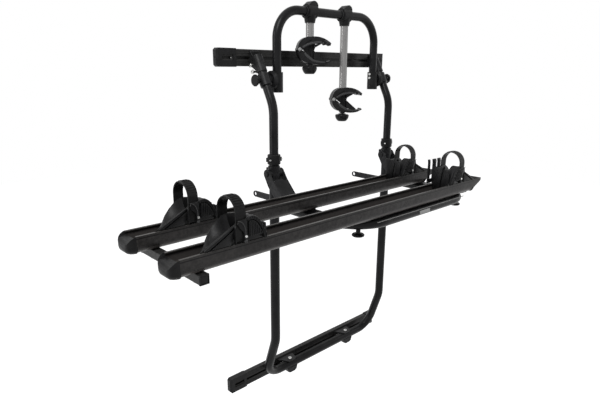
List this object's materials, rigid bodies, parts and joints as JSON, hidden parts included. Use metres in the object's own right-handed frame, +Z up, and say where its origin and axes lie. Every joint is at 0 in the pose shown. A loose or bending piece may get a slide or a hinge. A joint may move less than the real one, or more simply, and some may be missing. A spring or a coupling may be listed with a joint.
{
  "type": "van bike carrier",
  "caption": "Rear-door bike carrier for a van: tube frame on door rails, folding platform with wheel rails and strap cradles, and a hoop with clamp arms.",
  "frame": {"origin": "middle of the lower door rail, on the face that lies on the van's door, under the middle of the frame", "axes": "+X to the right along the rails seen from behind the van, +Y into the door, +Z up"},
  "size_m": [1.313, 0.5815, 1.4009],
  "materials": {
    "black_steel": "satin",
    "black_aluminium": "satin",
    "silver_aluminium": "satin",
    "bright_steel": "satin",
    "black_plastic": "matte",
    "grey_plastic": "matte",
    "strap_plastic": "satin"
  },
  "bodies": {
    "frame": {"lower_door_rail": "black_aluminium", "lower_rail_caps": "black_plastic", "lower_frame_tube": "black_steel", "lower_brackets": "black_steel", "lower_frame_bolts": "bright_steel", "height_collars": "black_plastic", "hinge_collars": "black_steel", "hinge_pins": "bright_steel", "stay_clips": "black_steel"},
    "left_stay": {"left_door_stay": "black_steel"},
    "right_stay": {"right_door_stay": "black_steel"},
    "upper_frame": {"upper_door_rail": "black_aluminium", "upper_rail_caps": "black_plastic", "upper_tubes": "black_steel", "top_brackets": "black_steel", "top_bracket_bolts": "bright_steel", "hoop_brackets": "black_steel"},
    "hoop": {"hoop_tube": "black_steel", "hoop_leg_clamps": "black_plastic", "hoop_rivets": "bright_steel"},
    "left_hoop_clamp_knob": {"left_hoop_knob": "black_plastic"},
    "right_hoop_clamp_knob": {"right_hoop_knob": "black_plastic"},
    "platform": {"platform_tube": "black_steel", "platform_forks": "black_steel", "rail_clamps": "black_steel", "front_bike_rail": "black_aluminium", "back_bike_rail": "black_aluminium", "platform_end_caps": "black_plastic", "cross_bar": "black_aluminium", "cross_bar_bolts": "bright_steel"},
    "left_rail_clamp_knob": {"left_rail_knob": "black_plastic"},
    "right_rail_clamp_knob": {"right_rail_knob": "black_plastic"},
    "short_liner": {"short_arm_liner": "grey_plastic"},
    "short_arm": {"short_arm_clamp": "black_plastic", "short_arm_tube": "silver_aluminium"},
    "short_claw": {"short_upper_jaw": "black_plastic", "short_jaw_rivet": "bright_steel"},
    "short_jaw": {"short_lower_jaw": "black_plastic"},
    "short_washer": {"short_jaw_washer": "black_steel"},
    "short_knob": {"short_claw_knob": "black_plastic"},
    "long_liner": {"long_arm_liner": "grey_plastic"},
    "long_arm": {"long_arm_clamp": "black_plastic", "long_arm_tube": "silver_aluminium"},
    "long_claw": {"long_upper_jaw": "black_plastic", "long_jaw_rivet": "bright_steel"},
    "long_jaw": {"long_lower_jaw": "black_plastic"},
    "long_washer": {"long_jaw_washer": "black_steel"},
    "long_knob": {"long_claw_knob": "black_plastic"},
    "front_left_holder": {"front_left_cradle": "black_plastic", "front_left_strap": "strap_plastic"},
    "front_left_lever": {"front_left_buckle_lever": "black_plastic"},
    "front_right_holder": {"front_right_cradle": "black_plastic", "front_right_strap": "strap_plastic"},
    "front_right_lever": {"front_right_buckle_lever": "black_plastic"},
    "back_left_holder": {"back_left_cradle": "black_plastic", "back_left_strap": "strap_plastic"},
    "back_left_lever": {"back_left_buckle_lever": "black_plastic"},
    "back_right_holder": {"back_right_cradle": "black_plastic", "back_right_strap": "strap_plastic"},
    "back_right_lever": {"back_right_buckle_lever": "black_plastic"}
  },
  "joints": [
    {"name": "height_adjust", "type": "slide", "parent": "frame", "child": "upper_frame", "axis": [0, 0, 1], "range_m": [-0.03, 0.06]},
    {"name": "platform_fold", "type": "hinge", "parent": "frame", "child": "platform", "pos_m": [0, -0.109, 0.808], "axis": [-1, 0, 0], "range_deg": [0, 80]},
    {"name": "hoop_tilt", "type": "hinge", "parent": "upper_frame", "child": "hoop", "pos_m": [0, -0.064, 1.111], "axis": [1, 0, 0], "range_deg": [0, 25]},
    {"name": "left_stay_swing", "type": "hinge", "parent": "frame", "child": "left_stay", "pos_m": [-0.272, -0.109, 0.706], "axis": [1, 0, 0], "range_deg": [-20, 20]},
    {"name": "right_stay_swing", "type": "hinge", "parent": "frame", "child": "right_stay", "pos_m": [0.272, -0.109, 0.706], "axis": [1, 0, 0], "range_deg": [-20, 20]},
    {"name": "left_hoop_knob_turn", "type": "hinge", "parent": "upper_frame", "child": "left_hoop_clamp_knob", "pos_m": [-0.323, -0.064, 1.111], "axis": [-1, 0, 0], "range_deg": [-180, 720]},
    {"name": "right_hoop_knob_turn", "type": "hinge", "parent": "upper_frame", "child": "right_hoop_clamp_knob", "pos_m": [0.323, -0.064, 1.111], "axis": [1, 0, 0], "range_deg": [-180, 720]},
    {"name": "left_rail_knob_turn", "type": "hinge", "parent": "platform", "child": "left_rail_clamp_knob", "pos_m": [-0.271, -0.46, 0.688], "axis": [0, 0, -1], "range_deg": [-180, 720]},
    {"name": "right_rail_knob_turn", "type": "hinge", "parent": "platform", "child": "right_rail_clamp_knob", "pos_m": [0.271, -0.46, 0.688], "axis": [0, 0, -1], "range_deg": [-180, 720]},
    {"name": "short_arm_slide", "type": "slide", "parent": "hoop", "child": "short_liner", "axis": [1, 0, 0], "range_m": [-0.025, 0.02]},
    {"name": "short_arm_swing", "type": "hinge", "parent": "short_liner", "child": "short_arm", "pos_m": [-0.099, -0.064, 1.337], "axis": [-1, 0, 0], "range_deg": [0, 95]},
    {"name": "short_claw_turn", "type": "hinge", "parent": "short_arm", "child": "short_claw", "pos_m": [-0.099, -0.064, 1.213], "axis": [0, 0, 1], "range_deg": [-60, 25]},
    {"name": "short_jaw_open", "type": "hinge", "parent": "short_claw", "child": "short_jaw", "pos_m": [-0.13278, -0.0445, 1.213], "axis": [0.5, 0.866, 0], "range_deg": [-5.88, 8.96]},
    {"name": "short_washer_lift", "type": "slide", "parent": "short_claw", "child": "short_washer", "axis": [0, 0, 1], "range_m": [-0.0061, 0.004]},
    {"name": "short_knob_turn", "type": "hinge", "parent": "short_washer", "child": "short_knob", "pos_m": [-0.099, -0.064, 1.153], "axis": [0, 0, 1], "range_deg": [-480, 732]},
    {"name": "long_arm_slide", "type": "slide", "parent": "hoop", "child": "long_liner", "axis": [1, 0, 0], "range_m": [-0.035, 0.005]},
    {"name": "long_arm_swing", "type": "hinge", "parent": "long_liner", "child": "long_arm", "pos_m": [0.076, -0.064, 1.337], "axis": [-1, 0, 0], "range_deg": [0, 95]},
    {"name": "long_claw_turn", "type": "hinge", "parent": "long_arm", "child": "long_claw", "pos_m": [0.076, -0.064, 1.038], "axis": [0, 0, 1], "range_deg": [-60, 25]},
    {"name": "long_jaw_open", "type": "hinge", "parent": "long_claw", "child": "long_jaw", "pos_m": [0.04222, -0.0445, 1.038], "axis": [0.5, 0.866, 0], "range_deg": [-5.88, 8.96]},
    {"name": "long_washer_lift", "type": "slide", "parent": "long_claw", "child": "long_washer", "axis": [0, 0, 1], "range_m": [-0.0061, 0.004]},
    {"name": "long_knob_turn", "type": "hinge", "parent": "long_washer", "child": "long_knob", "pos_m": [0.076, -0.064, 0.978], "axis": [0, 0, 1], "range_deg": [-480, 732]},
    {"name": "front_left_holder_slide", "type": "slide", "parent": "platform", "child": "front_left_holder", "axis": [1, 0, 0], "range_m": [-0.04, 0.25]},
    {"name": "front_left_lever_lift", "type": "hinge", "parent": "front_left_holder", "child": "front_left_lever", "pos_m": [-0.741, -0.5255, 0.787], "axis": [1, 0, 0], "range_deg": [0, 60]},
    {"name": "back_left_holder_slide", "type": "slide", "parent": "platform", "child": "back_left_holder", "axis": [1, 0, 0], "range_m": [-0.04, 0.25]},
    {"name": "back_left_lever_lift", "type": "hinge", "parent": "back_left_holder", "child": "back_left_lever", "pos_m": [-0.741, -0.3255, 0.787], "axis": [1, 0, 0], "range_deg": [0, 60]},
    {"name": "front_right_holder_slide", "type": "slide", "parent": "platform", "child": "front_right_holder", "axis": [1, 0, 0], "range_m": [-0.02, 0.02]},
    {"name": "front_right_lever_lift", "type": "hinge", "parent": "front_right_holder", "child": "front_right_lever", "pos_m": [0.195, -0.5255, 0.787], "axis": [1, 0, 0], "range_deg": [0, 60]},
    {"name": "back_right_holder_slide", "type": "slide", "parent": "platform", "child": "back_right_holder", "axis": [1, 0, 0], "range_m": [-0.02, 0.02]},
    {"name": "back_right_lever_lift", "type": "hinge", "parent": "back_right_holder", "child": "back_right_lever", "pos_m": [0.195, -0.3255, 0.787], "axis": [1, 0, 0], "range_deg": [0, 60]}
  ],
  "couplings": [
    {"joint": "short_jaw_open", "follows": "short_washer_lift", "rad_per_m": -25.641},
    {"joint": "short_knob_turn", "follows": "short_washer_lift", "rad_per_m": -2094.4},
    {"joint": "long_jaw_open", "follows": "long_washer_lift", "rad_per_m": -25.641},
    {"joint": "long_knob_turn", "follows": "long_washer_lift", "rad_per_m": -2094.4}
  ]
}
